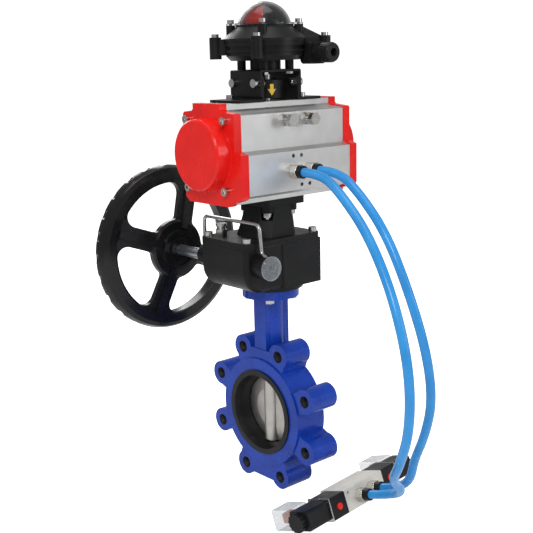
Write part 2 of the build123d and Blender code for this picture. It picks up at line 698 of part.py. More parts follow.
# ---------------------------------------------------------------- brackets and coupling
with BuildPart() as bracket_lower:
    for side in (-1, 1):
        with BuildSketch(Plane.XY.offset(act_z1)):
            with Locations((side * (foot_x + bracket_x - 5.1) / 2, 0)):
                Rectangle(foot_x - bracket_x + 5.1, 2 * bracket_y)
            with Locations((side * 40, 15), (side * 40, -15)):
                Circle(2.8, mode=Mode.SUBTRACT)
        extrude(amount=3)
        with BuildSketch(Plane.XY.offset(act_z1)):
            with Locations((side * (bracket_x - 3.85), 0)):
                Rectangle(2.5, 2 * bracket_y)
        extrude(amount=27)
    with BuildSketch(Plane.YZ.offset(-40)):
        with Locations((leg_bolt_y, 383), (-leg_bolt_y, 383)):
            Circle(2.8)
    extrude(amount=80, mode=Mode.SUBTRACT)
bracket_lower.part.label = "bracket_lower"
export_step(bracket_lower.part, "parts/bracket_lower.step")

with BuildPart() as bracket_upper:
    with BuildSketch(Plane.XZ.offset(-bracket_y)) as bracket_section:
        with Locations((0, (370 + plate_z) / 2)):
            RectangleRounded(2 * bracket_x, plate_z - 370, 2.4)
        with Locations((0, 371)):
            Rectangle(2 * bracket_x, 5)
        with Locations((0, (360 + plate_z - 2.5) / 2)):
            Rectangle(2 * bracket_x - 5, plate_z - 2.5 - 360, mode=Mode.SUBTRACT)
    extrude(amount=2 * bracket_y)
    with BuildSketch(Plane.XY.offset(390)):
        Circle(14)
        with GridLocations(post_grid, post_grid, 2, 2):
            Circle(2.2)
    extrude(amount=20, mode=Mode.SUBTRACT)
    with BuildSketch(Plane.YZ.offset(-40)):
        with Locations((leg_bolt_y, 383), (-leg_bolt_y, 383)):
            Circle(2.8)
    extrude(amount=80, mode=Mode.SUBTRACT)
bracket_upper.part.label = "bracket_upper"
export_step(bracket_upper.part, "parts/bracket_upper.step")

with BuildPart() as bracket_bolts:
    for side in (-1, 1):
        with BuildSketch(Plane.YZ.offset(side * (bracket_x - 9.1))):
            with Locations((leg_bolt_y, 383), (-leg_bolt_y, 383)):
                RegularPolygon(4.6, 6)
        extrude(amount=side * 4)
        with BuildSketch(Plane.YZ.offset(side * (bracket_x - 10))):
            with Locations((leg_bolt_y, 383), (-leg_bolt_y, 383)):
                Circle(2.45)
        extrude(amount=side * 11)
        with BuildSketch(Plane.YZ.offset(side * bracket_x)):
            with Locations((leg_bolt_y, 383), (-leg_bolt_y, 383)):
                Circle(4.6)
        extrude(amount=side * 5)
    with BuildSketch(Plane.XY.offset(act_z1 + 3)):
        with Locations(*foot_bolts):
            Circle(4.3)
    extrude(amount=4.5)
    with BuildSketch(Plane.XY.offset(352)):
        with Locations(*foot_bolts):
            Circle(2.45)
    extrude(amount=14.5)
    with BuildSketch(Plane.XY.offset(plate_z - 5)):
        with GridLocations(post_grid, post_grid, 2, 2):
            RegularPolygon(4, 6)
    extrude(amount=2.5)
bracket_bolts.part.label = "bracket_bolts"
export_step(bracket_bolts.part, "parts/bracket_bolts.step")

with BuildPart() as coupling:
    with BuildSketch(Plane.XY.offset(366.3)):
        Circle(19)
        Circle(6.04, mode=Mode.SUBTRACT)
    extrude(amount=20)
    chamfer(coupling.edges().group_by(Axis.Z)[-1], 0.8)
coupling.part.label = "coupling"
export_step(coupling.part, "parts/coupling.step")

# ---------------------------------------------------------------- limit switch box
with BuildPart() as switchbox_base:
    with BuildSketch(Plane.XY.offset(sw_z0 + 5)):
        Circle(43)
        with Locations((26, 0)):
            Rectangle(64, 66)
    extrude(amount=sw_z1 - sw_z0 - 5)
    for z, height in ((sw_z0 + 9, 2.5), (sw_z1 - 5, 5)):
        with BuildSketch(Plane.XY.offset(z)):
            Circle(rim_r - 1)
            with Locations((26, 0)):
                Rectangle(66, 69)
        extrude(amount=height)
    with BuildSketch(Plane.XY.offset(sw_z0 + 5)):
        Circle(43)
        with Locations((26, 0)):
            Rectangle(64, 66)
    extrude(amount=-5, taper=45)
    with BuildSketch(Plane.XY.offset(sw_z0 + 2)):
        with Locations(*box_corners):
            Circle(6.6)
    extrude(amount=sw_z1 - sw_z0 - 2)
    with BuildSketch(Plane.XY.offset(sw_z0 + 6)):
        with Locations(Location((-38, 31), 141), Location((-38, -31), -141)):
            Rectangle(20, 9)
    extrude(amount=sw_z1 - sw_z0 - 6)
    with BuildSketch(Plane.XY.offset(plate_z)):
        with GridLocations(post_grid, post_grid, 2, 2):
            Circle(4.8)
        Circle(17)
    extrude(amount=sw_z0 - plate_z + 2)
    with BuildSketch(Plane.XZ.offset(30)):
        with Locations((38, 414)):
            RectangleRounded(26, 24, 5)
    extrude(amount=14)
    with BuildSketch(Plane.XY.offset(sw_z0 + 4)):
        Circle(39)
        with Locations((26, 0)):
            Rectangle(56, 58)
    extrude(amount=40, mode=Mode.SUBTRACT)
    with BuildSketch(Plane.XY.offset(plate_z - 2)):
        Circle(4 + run_fit)
    extrude(amount=24, mode=Mode.SUBTRACT)
    with BuildSketch(Plane.XZ.offset(50)):
        with Locations((38, 414)):
            Circle(7.95)
    extrude(amount=-26, mode=Mode.SUBTRACT)
    with BuildSketch(Plane.XY.offset(sw_z0 + 8)):
        with Locations(*box_corners):
            Circle(2.5)
    extrude(amount=40, mode=Mode.SUBTRACT)
switchbox_base.part.label = "switchbox_base"
export_step(switchbox_base.part, "parts/switchbox_base.step")

with BuildPart() as switchbox_lid:
    with BuildSketch(Plane.XY.offset(sw_z1)):
        Circle(rim_r)
        with Locations((26, 0)):
            Rectangle(67, 70)
        with Locations(*box_corners):
            Circle(6.6)
        with Locations(Location((-38, 31), 141), Location((-38, -31), -141)):
            Rectangle(20, 9)
    extrude(amount=3)
    with BuildSketch(Plane.XY.offset(sw_z1)):
        with Locations(*box_corners):
            Circle(6.6)
    extrude(amount=5)
    with BuildSketch(Plane.XY.offset(sw_z1 + 3)):
        with Locations((22, 0)):
            Rectangle(75, 68)
    with BuildSketch(Plane.XY.offset(lid_z)):
        with Locations((14, 0)):
            Rectangle(44, 44)
    loft()
    with BuildSketch(Plane.XY.offset(sw_z1 + 3)):
        Circle(rim_r)
    extrude(amount=lid_z - sw_z1 - 3, taper=48)
    with BuildSketch(Plane.XY.offset(sw_z1 + 3)):
        Circle(32)
        with GridLocations(screen_grid, screen_grid, 2, 2):
            Circle(5)
    extrude(amount=dome_z - sw_z1 - 3)
    with BuildSketch(Plane.XY.offset(sw_z1 - 1)):
        Circle(38)
    extrude(amount=lid_z - sw_z1 - 2, taper=50, mode=Mode.SUBTRACT)
    with BuildSketch(Plane.XY.offset(sw_z1 - 1)):
        Circle(8)
    extrude(amount=40, mode=Mode.SUBTRACT)
    with BuildSketch(Plane.XY.offset(sw_z1 - 1)):
        with Locations(*box_corners):
            Circle(2.8)
        with GridLocations(screen_grid, screen_grid, 2, 2):
            Circle(1.6)
    extrude(amount=40, mode=Mode.SUBTRACT)
switchbox_lid.part.label = "switchbox_lid"
export_step(switchbox_lid.part, "parts/switchbox_lid.step")

with BuildPart() as box_screws:
    with BuildSketch(Plane.XY.offset(sw_z1 + 5)):
        with Locations(*box_corners):
            Circle(4)
    extrude(amount=3.5)
    with BuildSketch(Plane.XY.offset(sw_z0 + 9)):
        with Locations(*box_corners):
            Circle(2.45)
    extrude(amount=sw_z1 - sw_z0 - 4)
box_screws.part.label = "box_screws"
export_step(box_screws.part, "parts/box_screws.step")

with BuildPart() as dome:
    with BuildSketch(Plane.XZ):
        with Locations((0, 440.2)):
            Circle(29.8)
            Circle(27.8, mode=Mode.SUBTRACT)
        with Locations((-20, 450)):
            Rectangle(40, 100, mode=Mode.SUBTRACT)
        with Locations((20, 420)):
            Rectangle(40, 2 * (dome_z - 420), mode=Mode.SUBTRACT)
        with Locations((30, dome_z + 1)):
            Rectangle(6, 2)
    revolve(axis=Axis.Z)
    with BuildSketch(Plane.XY.offset(dome_z)):
        with GridLocations(screen_grid, screen_grid, 2, 2):
            Circle(5)
        with GridLocations(screen_grid - 6, screen_grid - 6, 2, 2):
            Circle(5)
        Circle(28, mode=Mode.SUBTRACT)
    extrude(amount=2)
    with BuildSketch(Plane.XY.offset(dome_z - 1)):
        with GridLocations(screen_grid, screen_grid, 2, 2):
            Circle(1.8)
    extrude(amount=4, mode=Mode.SUBTRACT)
dome.part.label = "dome"
export_step(dome.part, "parts/dome.step")

with BuildPart() as dome_screws:
    with BuildSketch(Plane.XY.offset(dome_z + 2)):
        with GridLocations(screen_grid, screen_grid, 2, 2):
            Circle(3.8)
    extrude(amount=4)
    with BuildSketch(Plane.XY.offset(dome_z - 8)):
        with GridLocations(screen_grid, screen_grid, 2, 2):
            Circle(1.55)
    extrude(amount=10.5)
dome_screws.part.label = "dome_screws"
export_step(dome_screws.part, "parts/dome_screws.step")

indicator_half = [(4.03, 446), (24.5, 446), (24.5, 450), (19.5, 458), (12, 464), (0, 466.5), (0, 453),
                  (4.03, 453)]
with BuildPart() as indicator_red:
    with BuildSketch(Plane.XZ):
        Polygon(*indicator_half, align=None)
    revolve(axis=Axis.Z)
    with BuildSketch(Plane.XY.offset(440)):
        Polygon((0, 0), (40, 40), (-40, 40), align=None)
        Polygon((0, 0), (-40, -40), (40, -40), align=None)
    extrude(amount=40, mode=Mode.SUBTRACT)
indicator_red.part.label = "indicator_red"
export_step(indicator_red.part, "parts/indicator_red.step")

with BuildPart() as indicator_black:
    with BuildSketch(Plane.XZ):
        Polygon(*indicator_half, align=None)
    revolve(axis=Axis.Z)
    with BuildSketch(Plane.XY.offset(440)):
        Polygon((0, 0), (40, -40), (40, 40), align=None)
        Polygon((0, 0), (-40, 40), (-40, -40), align=None)
    extrude(amount=40, mode=Mode.SUBTRACT)
indicator_black.part.label = "indicator_black"
export_step(indicator_black.part, "parts/indicator_black.step")

with BuildPart() as cam_shaft:
    with BuildSketch(Plane.XY.offset(392.2)):
        Circle(4)
    extrude(amount=60.6)
    with BuildSketch(Plane.XY.offset(388.3)):
        Rectangle(8, 3)
    extrude(amount=4)
    for z in (414, 420):
        with BuildSketch(Plane.XY.offset(z)):
            Circle(7)
            with Locations((-6, 0)):
                Circle(3)
        extrude(amount=4)
cam_shaft.part.label = "cam_shaft"
export_step(cam_shaft.part, "parts/cam_shaft.step")

with BuildPart() as micro_switches:
    with BuildSketch(Plane.XY.offset(sw_z0 + 4)):
        with Locations((20, 8), (20, -8)):
            Rectangle(20, 10)
    extrude(amount=14)
micro_switches.part.label = "micro_switches"
export_step(micro_switches.part, "parts/micro_switches.step")

with BuildPart() as cable_gland:
    with BuildSketch(Plane.XZ.offset(44)):
        with Locations((38, 414)):
            RegularPolygon(11.5, 6)
    extrude(amount=7)
    with BuildSketch(Plane.XZ.offset(51)):
        with Locations((38, 414)):
            Circle(9.3)
    extrude(amount=4)
    with BuildSketch(Plane.XZ.offset(55)):
        with Locations((38, 414)):
            Circle(10.5)
    extrude(amount=14)
    fillet(cable_gland.edges().filter_by(GeomType.CIRCLE).group_by(Axis.Y)[0], 2.5)
    with BuildSketch(Plane.XZ.offset(31)):
        with Locations((38, 414)):
            Circle(7.9)
    extrude(amount=14)
    with BuildSketch(Plane.XZ.offset(80)):
        with Locations((38, 414)):
            Circle(4.5)
    extrude(amount=-60, mode=Mode.SUBTRACT)
cable_gland.part.label = "cable_gland"
export_step(cable_gland.part, "parts/cable_gland.step")

# ---------------------------------------------------------------- solenoid valve
face = Plane(origin=sol.from_local_coords(Vector(0, -19.4, 0)), x_dir=sol.x_dir, z_dir=-sol.y_dir)
side_plane = Plane(origin=sol.origin, x_dir=sol.y_dir, z_dir=sol.x_dir)
with BuildPart() as solenoid_body:
    with BuildSketch(side_plane.offset(-33.9)):
        RectangleRounded(38.8, 26.3, 1.5)
    extrude(amount=67.8)
    with BuildSketch(face):
        with Locations((-11, 0), (11, 0)):
            Circle(4.95)
    extrude(amount=-15, mode=Mode.SUBTRACT)
    with BuildSketch(face.offset(-38.8)):
        with Locations((-22, 0), (0, 0), (22, 0)):
            Circle(5)
    extrude(amount=12, mode=Mode.SUBTRACT)
    with BuildSketch(face):
        with Locations((-28, 9), (28, -9)):
            Circle(1.7)
    extrude(amount=-60, mode=Mode.SUBTRACT)
solenoid_body.part.label = "solenoid_body"
export_step(solenoid_body.part, "parts/solenoid_body.step")

with BuildPart() as pilot_blocks:
    for side in (-1, 1):
        with BuildSketch(side_plane.offset(side * 33.9)):
            with Locations((-3.2, 0)):
                RectangleRounded(32.4, 26.3, 2)
        extrude(amount=side * 25)
    with BuildSketch(face):
        with Locations((-46.4, 0), (46.4, 0)):
            Circle(4.06)
    extrude(amount=-9, mode=Mode.SUBTRACT)
pilot_blocks.part.label = "pilot_blocks"
export_step(pilot_blocks.part, "parts/pilot_blocks.step")

with BuildPart() as yoke_plates:
    for side in (-1, 1):
        with BuildSketch(side_plane.offset(side * 58.9)):
            with Locations((-2, 0)):
                RectangleRounded(34, 27, 1)
        extrude(amount=side * 1.5)
yoke_plates.part.label = "yoke_plates"
export_step(yoke_plates.part, "parts/yoke_plates.step")

with BuildPart() as override_left:
    with BuildSketch(face.offset(-6)):
        with Locations((-46.4, 0)):
            Circle(4)
    extrude(amount=7.5)
override_left.part.label = "override_left"
export_step(override_left.part, "parts/override_left.step")

with BuildPart() as override_right:
    with BuildSketch(face.offset(-6)):
        with Locations((46.4, 0)):
            Circle(4)
    extrude(amount=7.5)
override_right.part.label = "override_right"
export_step(override_right.part, "parts/override_right.step")

with BuildPart() as solenoid_coils:
    for side in (-1, 1):
        with BuildSketch(side_plane.offset(side * 60.4)):
            with Locations((-1, 0)):
                RectangleRounded(30, 23, 4)
        extrude(amount=side * 33)
solenoid_coils.part.label = "solenoid_coils"
export_step(solenoid_coils.part, "parts/solenoid_coils.step")

with BuildPart() as coil_nuts:
    for side in (-1, 1):
        with BuildSketch(side_plane.offset(side * 93.4)):
            Circle(coil_nut_r)
            with PolarLocations(coil_nut_r, 14):
                Circle(1.1, mode=Mode.SUBTRACT)
        extrude(amount=side * 7)
coil_nuts.part.label = "coil_nuts"
export_step(coil_nuts.part, "parts/coil_nuts.step")

with BuildPart() as coil_connectors:
    with BuildSketch(face.offset(-33.4)):
        with Locations((-79, 0), (79, 0)):
            RectangleRounded(29, 25, 2)
    extrude(amount=-30)
coil_connectors.part.label = "coil_connectors"
export_step(coil_connectors.part, "parts/coil_connectors.step")

# ---------------------------------------------------------------- fittings and tubes
with BuildPart() as tube_fittings:
    with BuildSketch(Plane.XZ.offset(-port_face)):
        with Locations((-12, port_z), (12, port_z)):
            RegularPolygon(8.6, 6)
    extrude(amount=10)
    with BuildSketch(Plane.XZ.offset(-port_face - 14)):
        with Locations((-12, port_z), (12, port_z)):
            Circle(4.9)
    extrude(amount=16)
    with BuildSketch(face):
        with Locations((-11, 0), (11, 0)):
            RegularPolygon(8.6, 6)
    extrude(amount=10)
    with BuildSketch(face.offset(-14)):
        with Locations((-11, 0), (11, 0)):
            Circle(4.9)
    extrude(amount=16)
    with BuildSketch(Plane.XZ.offset(-port_face - 15)):
        with Locations((-12, port_z), (12, port_z)):
            Circle(3)
    extrude(amount=40, mode=Mode.SUBTRACT)
    with BuildSketch(face.offset(-15)):
        with Locations((-11, 0), (11, 0)):
            Circle(3)
    extrude(amount=40, mode=Mode.SUBTRACT)
tube_fittings.part.label = "tube_fittings"
export_step(tube_fittings.part, "parts/tube_fittings.step")

with BuildPart() as fitting_collars:
    with BuildSketch(Plane.XZ.offset(-port_face + 10)):
        with Locations((-12, port_z), (12, port_z)):
            Circle(7)
            Circle(tube_bore_r, mode=Mode.SUBTRACT)
    extrude(amount=6)
    with BuildSketch(face.offset(10)):
        with Locations((-11, 0), (11, 0)):
            Circle(7)
            Circle(tube_bore_r, mode=Mode.SUBTRACT)
    extrude(amount=7.6)
fitting_collars.part.label = "fitting_collars"
export_step(fitting_collars.part, "parts/fitting_collars.step")

left_run = [(-12, -72, 289), (-12, -99.2, 289), (-24, -138.2, 273.5), (-36.8, -188.6, 238.6),
            (-49.2, -232.1, 184.1), (-54.8, -257.1, 119.8), (-50.8, -254.7, 58.3), (-35.7, -229.1, 9.3),
            (-10.5, -197, -25), (22.8, -183.7, -52.8), (37.8, -156.8, -71.6), (36.03, -124.25, -82.23)]
right_run = [(12, -72, 289), (12, -100.8, 289), (2.3, -138.3, 272.1), (-2.2, -179.8, 235.5),
             (-2.9, -210.7, 180.3), (3.9, -229.1, 119.8), (15.5, -228.4, 64.2), (28.4, -208.7, 16.8),
             (42.1, -182.8, -23.3), (56, -166.6, -56.2), (59.19, -145.56, -73.89), (57.96, -122.78, -81.35)]
with BuildPart() as tube_left:
    with BuildLine() as left_line:
        add(tube_path(left_run))
    with BuildSketch(Plane(origin=left_line.line @ 0, z_dir=left_line.line % 0)):
        Circle(tube_r)
        Circle(tube_bore_r, mode=Mode.SUBTRACT)
    sweep()
tube_left.part.label = "tube_left"
export_step(tube_left.part, "parts/tube_left.step")

with BuildPart() as tube_right:
    with BuildLine() as right_line:
        add(tube_path(right_run))
    with BuildSketch(Plane(origin=right_line.line @ 0, z_dir=right_line.line % 0)):
        Circle(tube_r)
        Circle(tube_bore_r, mode=Mode.SUBTRACT)
    sweep()
tube_right.part.label = "tube_right"
export_step(tube_right.part, "parts/tube_right.step")
for name, tube, line in (("tube_left", tube_left, left_line), ("tube_right", tube_right, right_line)):
    section = pi * (tube_r ** 2 - tube_bore_r ** 2)
    length = sum(edge.length for edge in line.edges())
    print(name, "length", round(length, 1), "volume ratio", round(tube.part.volume / (section * length), 4))
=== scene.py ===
"""Looks for the pneumatic actuated valve. Units are metres, in the CAD frame."""
import json
import math

import bmesh
import bpy
from mathutils import Matrix, Vector


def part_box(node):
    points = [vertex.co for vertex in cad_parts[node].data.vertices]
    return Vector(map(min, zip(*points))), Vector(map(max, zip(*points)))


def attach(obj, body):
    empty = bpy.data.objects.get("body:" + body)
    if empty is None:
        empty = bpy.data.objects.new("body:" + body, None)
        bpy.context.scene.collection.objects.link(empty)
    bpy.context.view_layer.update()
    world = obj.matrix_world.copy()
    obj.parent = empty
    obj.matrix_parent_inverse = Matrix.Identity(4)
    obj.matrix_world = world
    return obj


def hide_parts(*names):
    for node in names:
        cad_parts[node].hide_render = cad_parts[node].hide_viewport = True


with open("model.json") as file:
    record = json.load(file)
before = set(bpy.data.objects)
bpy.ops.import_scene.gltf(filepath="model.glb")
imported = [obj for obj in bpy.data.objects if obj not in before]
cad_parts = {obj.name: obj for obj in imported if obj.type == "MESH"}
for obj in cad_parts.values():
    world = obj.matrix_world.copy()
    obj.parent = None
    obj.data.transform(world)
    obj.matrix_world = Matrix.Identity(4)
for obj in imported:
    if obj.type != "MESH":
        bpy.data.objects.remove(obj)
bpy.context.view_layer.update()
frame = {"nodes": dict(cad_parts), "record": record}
MM = 0.001
FLOOR_Z = -135 * MM
TUBE_R = 5 * MM

# the solenoid valve's own frame: its centre, then along it, up across it, and away from the tubes
SOL_O = Vector((45.1, -88.4, -93.3)) * MM
SOL_LENGTHWISE = Vector((0.99695, 0.067, 0.04)).normalized()
SOL_B = Vector((-0.05880, 0.30802, 0.94956)).normalized()
SOL_A = (SOL_LENGTHWISE - SOL_B * SOL_LENGTHWISE.dot(SOL_B)).normalized()
SOL_C = SOL_B.cross(SOL_A)


# ---------------------------------------------------------------- camera, floor and light
def make_camera():
    """A camera set by its azimuth, elevation and roll in degrees, and its place in metres."""
    az, el, roll = (math.radians(v) for v in (-41.188, 12.490, -1.3754))
    back = Vector((math.sin(az) * math.cos(el), -math.cos(az) * math.cos(el), math.sin(el)))
    right = Vector((math.cos(az), math.sin(az), 0))
    up = back.cross(right)
    x_axis = right * math.cos(roll) + up * math.sin(roll)
    y_axis = up * math.cos(roll) - right * math.sin(roll)
    data = bpy.data.cameras.new("camera")
    data.lens = 65.5
    data.sensor_width = 36.0
    cam = bpy.data.objects.new("camera", data)
    bpy.context.collection.objects.link(cam)
    cam.matrix_world = Matrix.Translation((-0.72627, -0.82364, 0.41619)) @ Matrix(
        (x_axis, y_axis, back)).transposed().to_4x4()
    bpy.context.scene.camera = cam


def camera_level(nt, indirect, seen):
    """A strength for the backdrop that differs between what it lights and how it is seen."""
    path = nt.nodes.new("ShaderNodeLightPath")
    level = nt.nodes.new("ShaderNodeMapRange")
    level.inputs["To Min"].default_value = indirect
    level.inputs["To Max"].default_value = seen
    nt.links.new(path.outputs["Is Camera Ray"], level.inputs["Value"])
    return level.outputs[0]


def make_stage():
    """A pale floor, an even backdrop and four soft lights."""
    bm = bmesh.new()
    bmesh.ops.create_grid(bm, x_segments=1, y_segments=1, size=6)
    floor = new_object("floor", bm)
    floor.location.z = FLOOR_Z
    mat = bpy.data.materials.new("floor")
    mat.use_nodes = True
    bsdf = mat.node_tree.nodes["Principled BSDF"]
    bsdf.inputs["Base Color"].default_value = (0.93, 0.93, 0.93, 1)
    bsdf.inputs["Roughness"].default_value = 0.8
    bsdf.inputs["Emission Color"].default_value = (1, 1, 1, 1)
    mat.node_tree.links.new(camera_level(mat.node_tree, 0.0, 0.9), bsdf.inputs["Emission Strength"])
    floor.data.materials.append(mat)
    world = bpy.data.worlds.new("studio")
    bpy.context.scene.world = world
    world.use_nodes = True
    nt = world.node_tree
    bg = nt.nodes["Background"]
    coord = nt.nodes.new("ShaderNodeTexCoord")
    split = nt.nodes.new("ShaderNodeSeparateXYZ")
    ramp = nt.nodes.new("ShaderNodeValToRGB")
    nt.links.new(coord.outputs["Generated"], split.inputs[0])
    nt.links.new(split.outputs["Z"], ramp.inputs[0])
    ramp.color_ramp.elements[0].position = 0.0
    ramp.color_ramp.elements[0].color = (0.92, 0.93, 0.95, 1)
    ramp.color_ramp.elements[1].position = 0.75
    ramp.color_ramp.elements[1].color = (1, 1, 1, 1)
    nt.links.new(ramp.outputs[0], bg.inputs["Color"])
    nt.links.new(camera_level(nt, 0.40, 1.15), bg.inputs["Strength"])
    area_light("key", (-1.5, -1.1, 1.5), (0, 0, 0.2), 0.7, 21)
    area_light("fill", (0.9, -1.9, 0.7), (0, 0, 0.2), 0.9, 8)
    area_light("rim", (0.6, 1.6, 1.2), (0, 0, 0.2), 1.0, 12)
    area_light("top", (-0.1, 0.0, 1.9), (0, 0, 0), 1.2, 10)
    bpy.context.scene.view_settings.view_transform = "Standard"


def area_light(name, place, target, size, power):
    data = bpy.data.lights.new(name, "AREA")
    data.shape = "SQUARE"
    data.size = size
    data.energy = power
    obj = bpy.data.objects.new(name, data)
    bpy.context.collection.objects.link(obj)
    obj.location = place
    obj.rotation_euler = (Vector(target) - Vector(place)).to_track_quat("-Z", "Y").to_euler()


def new_object(name, bm):
    mesh = bpy.data.meshes.new(name)
    bm.to_mesh(mesh)
    bm.free()
    obj = bpy.data.objects.new(name, mesh)
    bpy.context.collection.objects.link(obj)
    return obj


# ---------------------------------------------------------------- materials
class Nodes:
    """Short names for building a node material around one Principled shader."""

    def __init__(self, name):
        self.mat = bpy.data.materials.new(name)
        self.mat.use_nodes = True
        self.nt = self.mat.node_tree
        self.bsdf = self.nt.nodes["Principled BSDF"]
        self.coord = self.nt.nodes.new("ShaderNodeTexCoord").outputs["Object"]

    def link(self, a, b):
        self.nt.links.new(a, b)

    def stretched(self, scale):
        node = self.nt.nodes.new("ShaderNodeMapping")
        node.inputs["Scale"].default_value = scale
        self.link(self.coord, node.inputs["Vector"])
        return node.outputs[0]

    def noise(self, scale, detail=3.0, vector=None):
        node = self.nt.nodes.new("ShaderNodeTexNoise")
        node.inputs["Scale"].default_value = scale
        node.inputs["Detail"].default_value = detail
        self.link(vector or self.coord, node.inputs["Vector"])
        return node.outputs["Fac"]

    def remap(self, value, low, high, to_low, to_high):
        node = self.nt.nodes.new("ShaderNodeMapRange")
        for key, val in zip(("From Min", "From Max", "To Min", "To Max"), (low, high, to_low, to_high)):
            node.inputs[key].default_value = val
        self.link(value, node.inputs["Value"])
        return node.outputs[0]

    def mix(self, fac, a, b):
        node = self.nt.nodes.new("ShaderNodeMix")
        node.data_type = "RGBA"
        self.link(fac, node.inputs["Factor"])
        for socket, val in ((node.inputs["A"], a), (node.inputs["B"], b)):
            if hasattr(val, "default_value"):
                self.link(val, socket)
            else:
                socket.default_value = (*val, 1)
        return node.outputs["Result"]

    def math(self, op, a, b=None):
        node = self.nt.nodes.new("ShaderNodeMath")
        node.operation = op
        for socket, val in zip(node.inputs, (a, b)):
            if val is None:
                continue
            if hasattr(val, "default_value"):
                self.link(val, socket)
            else:
                socket.default_value = val
        return node.outputs[0]

    def bump(self, height, distance, strength=1.0, normal=None):
        node = self.nt.nodes.new("ShaderNodeBump")
        node.inputs["Distance"].default_value = distance
        node.inputs["Strength"].default_value = strength
        self.link(height, node.inputs["Height"])
        if normal is not None:
            self.link(normal, node.inputs["Normal"])
        self.link(node.outputs[0], self.bsdf.inputs["Normal"])
        return node.outputs[0]

    def set(self, **values):
        for key, val in values.items():
            self.bsdf.inputs[key.replace("_", " ")].default_value = val


def paint(name, dark, light, rough, grain, grain_depth, coat=0.0, gloss=0.25, scuff=None):
    """Painted or moulded surface: cloudy colour, fine grain, smudges and, where asked, light scuffs."""
    n = Nodes(name)
    colour = n.mix(n.remap(n.noise(35, 4), 0.35, 0.65, 0, 1), dark, light)
    if scuff is not None:
        streaks = n.remap(n.noise(1.0, 4, n.stretched((160, 160, 700))), 0.62, 0.74, 0, 0.45)
        patches = n.remap(n.noise(22, 2), 0.5, 0.65, 0, 1)
        colour = n.mix(n.math("MULTIPLY", streaks, patches), colour, scuff)
    n.link(colour, n.bsdf.inputs["Base Color"])
    smudge = n.noise(90, 5)
    n.link(n.remap(smudge, 0.3, 0.7, rough - 0.05, rough + 0.07), n.bsdf.inputs["Roughness"])
    fine = n.bump(n.noise(grain, 2), grain_depth)
    n.bump(n.noise(grain / 8, 3), grain_depth * 3, 0.5, fine)
    n.set(Coat_Weight=coat, Coat_Roughness=0.10, Specular_IOR_Level=gloss)
    return n.mat


def metal(name, dark, light, rough, axis=None, depth=0.00003, metallic=1.0):
    """Metal with fine machining lines along an axis, and faint stains."""
    n = Nodes(name)
    colour = n.mix(n.remap(n.noise(60, 4), 0.3, 0.7, 0, 1), dark, light)
    n.link(colour, n.bsdf.inputs["Base Color"])
    if axis is None:
        lines = n.noise(1500, 2)
    else:
        scale = [2400.0, 2400.0, 2400.0]
        scale[axis] = 25.0
        lines = n.noise(1.0, 3, n.stretched(scale))
    n.link(n.remap(lines, 0.25, 0.75, rough - 0.07, rough + 0.10), n.bsdf.inputs["Roughness"])
    n.bump(lines, depth, 0.6)
    n.set(Metallic=metallic)
    return n.mat


def clear(name, tint, rough, face_alpha, edge_alpha):
    """Clear moulded plastic: see-through where it faces the eye, denser towards its edges."""
    n = Nodes(name)
    facing = n.nt.nodes.new("ShaderNodeLayerWeight")
    facing.inputs["Blend"].default_value = 0.35
    n.link(n.remap(facing.outputs["Facing"], 0.1, 0.9, face_alpha, edge_alpha), n.bsdf.inputs["Alpha"])
    colour = n.mix(n.remap(n.noise(60, 3), 0.3, 0.7, 0, 1), tint, tuple(c * 0.8 for c in tint))
    n.link(colour, n.bsdf.inputs["Base Color"])
    n.link(n.remap(n.noise(70, 3), 0.3, 0.7, rough, rough + 0.04), n.bsdf.inputs["Roughness"])
    n.bump(n.noise(45, 2), 0.00006, 0.4)
    n.set(Specular_IOR_Level=1.0)
    n.mat.surface_render_method = "BLENDED"
    return n.mat


def thread_painted_shading(name, dark, light, pitch):
    """Dark steel banded dark and light round the X axis at the given pitch: painted shade and painted
    highlight that stand for a cut thread's flanks.
    """
    n = Nodes(name)
    thread_shade_bands = n.nt.nodes.new("ShaderNodeTexWave")
    thread_shade_bands.bands_direction = "X"
    thread_shade_bands.inputs["Scale"].default_value = 0.314 / pitch
    thread_shade_bands.inputs["Distortion"].default_value = 0.4
    n.link(n.coord, thread_shade_bands.inputs["Vector"])
    # the bands mix dark into light: painted shade and painted highlight across the thread
    n.link(n.mix(thread_shade_bands.outputs["Fac"], dark, light), n.bsdf.inputs["Base Color"])
    n.link(n.remap(n.noise(300, 3), 0.3, 0.7, 0.35, 0.5), n.bsdf.inputs["Roughness"])
    n.set(Metallic=0.7)
    return n.mat


